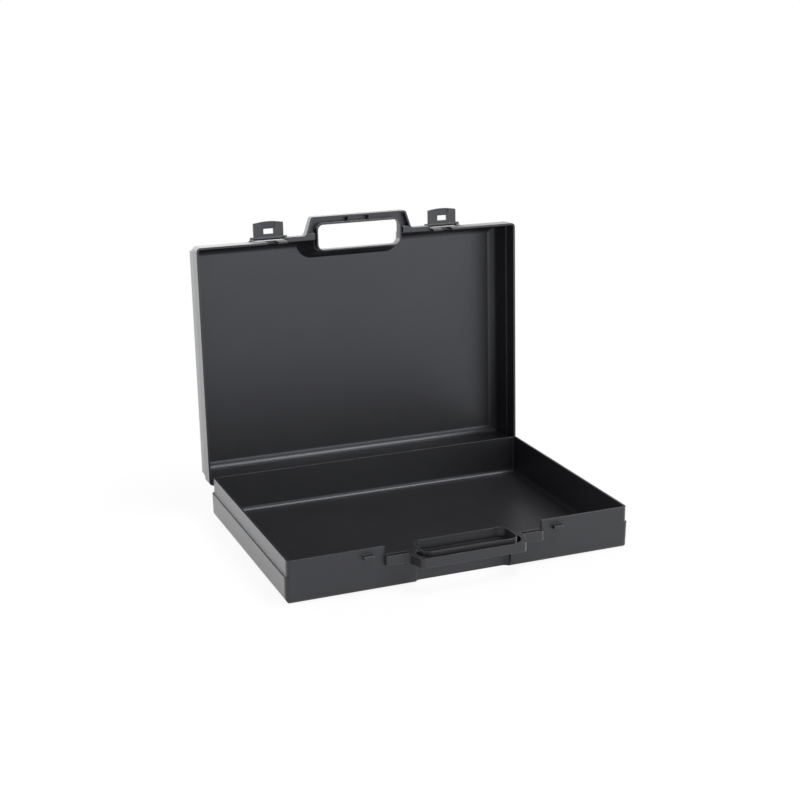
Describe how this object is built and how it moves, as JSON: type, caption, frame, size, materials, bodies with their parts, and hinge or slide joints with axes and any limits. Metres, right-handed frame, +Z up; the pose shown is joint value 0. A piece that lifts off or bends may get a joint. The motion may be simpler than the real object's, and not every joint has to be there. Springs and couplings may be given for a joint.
{
  "type": "transport case",
  "caption": "Black moulded plastic carry case standing open, with an overlapping hinged lid, a split carry handle and swinging snap latches.",
  "frame": {"origin": "middle of the base's underside, on the table", "axes": "+X along the hinge line to the right as seen from the handle side, +Y from the handle to the hinges, +Z up"},
  "size_m": [0.3672, 0.3378, 0.3121],
  "materials": {
    "shell_plastic": "satin black polypropylene with a fine moulded texture",
    "latch_plastic": "satin black polypropylene",
    "pin_steel": "plain steel wire pin"
  },
  "bodies": {
    "base": {"base_shell": "shell_plastic", "hinge_pin_left": "pin_steel", "hinge_pin_middle": "pin_steel", "hinge_pin_right": "pin_steel"},
    "lid": {"lid_shell": "shell_plastic", "latch_pin_left": "pin_steel", "latch_pin_right": "pin_steel"},
    "left_latch": {"latch_left": "latch_plastic"},
    "right_latch": {"latch_right": "latch_plastic"}
  },
  "joints": [
    {"name": "lid_hinge", "type": "hinge", "parent": "base", "child": "lid", "pos_m": [0, 0.1322, 0.0294], "axis": [1, 0, 0], "range_deg": [0, 92.3]},
    {"name": "left_latch_hinge", "type": "hinge", "parent": "lid", "child": "left_latch", "pos_m": [-0.1005, 0.15616, 0.29205], "axis": [1, 0, 0], "range_deg": [-80, 90]},
    {"name": "right_latch_hinge", "type": "hinge", "parent": "lid", "child": "right_latch", "pos_m": [0.1005, 0.15616, 0.29205], "axis": [1, 0, 0], "range_deg": [-80, 90]}
  ]
}
